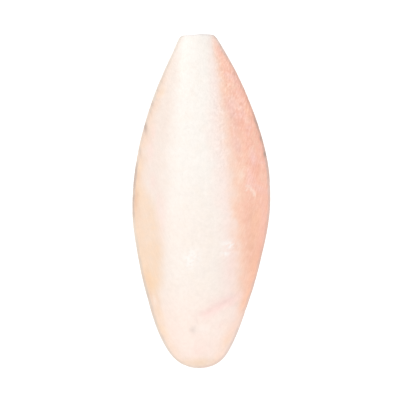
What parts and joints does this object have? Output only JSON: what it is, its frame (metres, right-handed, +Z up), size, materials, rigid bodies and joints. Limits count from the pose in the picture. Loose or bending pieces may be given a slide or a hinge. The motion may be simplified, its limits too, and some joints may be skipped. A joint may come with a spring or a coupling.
{
  "type": "cuttlebone",
  "caption": "Cuttlebone lying hard side up: a pointed oval blade of chalky shell with a low middle rib, a thin rim, a sawn-off spine tip and a hollow, striped underside.",
  "frame": {"origin": "centre of the bone's outline, on the plane that its worn belly rests on", "axes": "+Y along the bone towards the sawn-off spine end, +Z up through the hard dorsal side"},
  "size_m": [0.0619, 0.15, 0.0182],
  "materials": {
    "bone": "matt, chalky, cream to pale salmon"
  },
  "bodies": {
    "root": {"cuttlebone": "bone"}
  },
  "joints": []
}
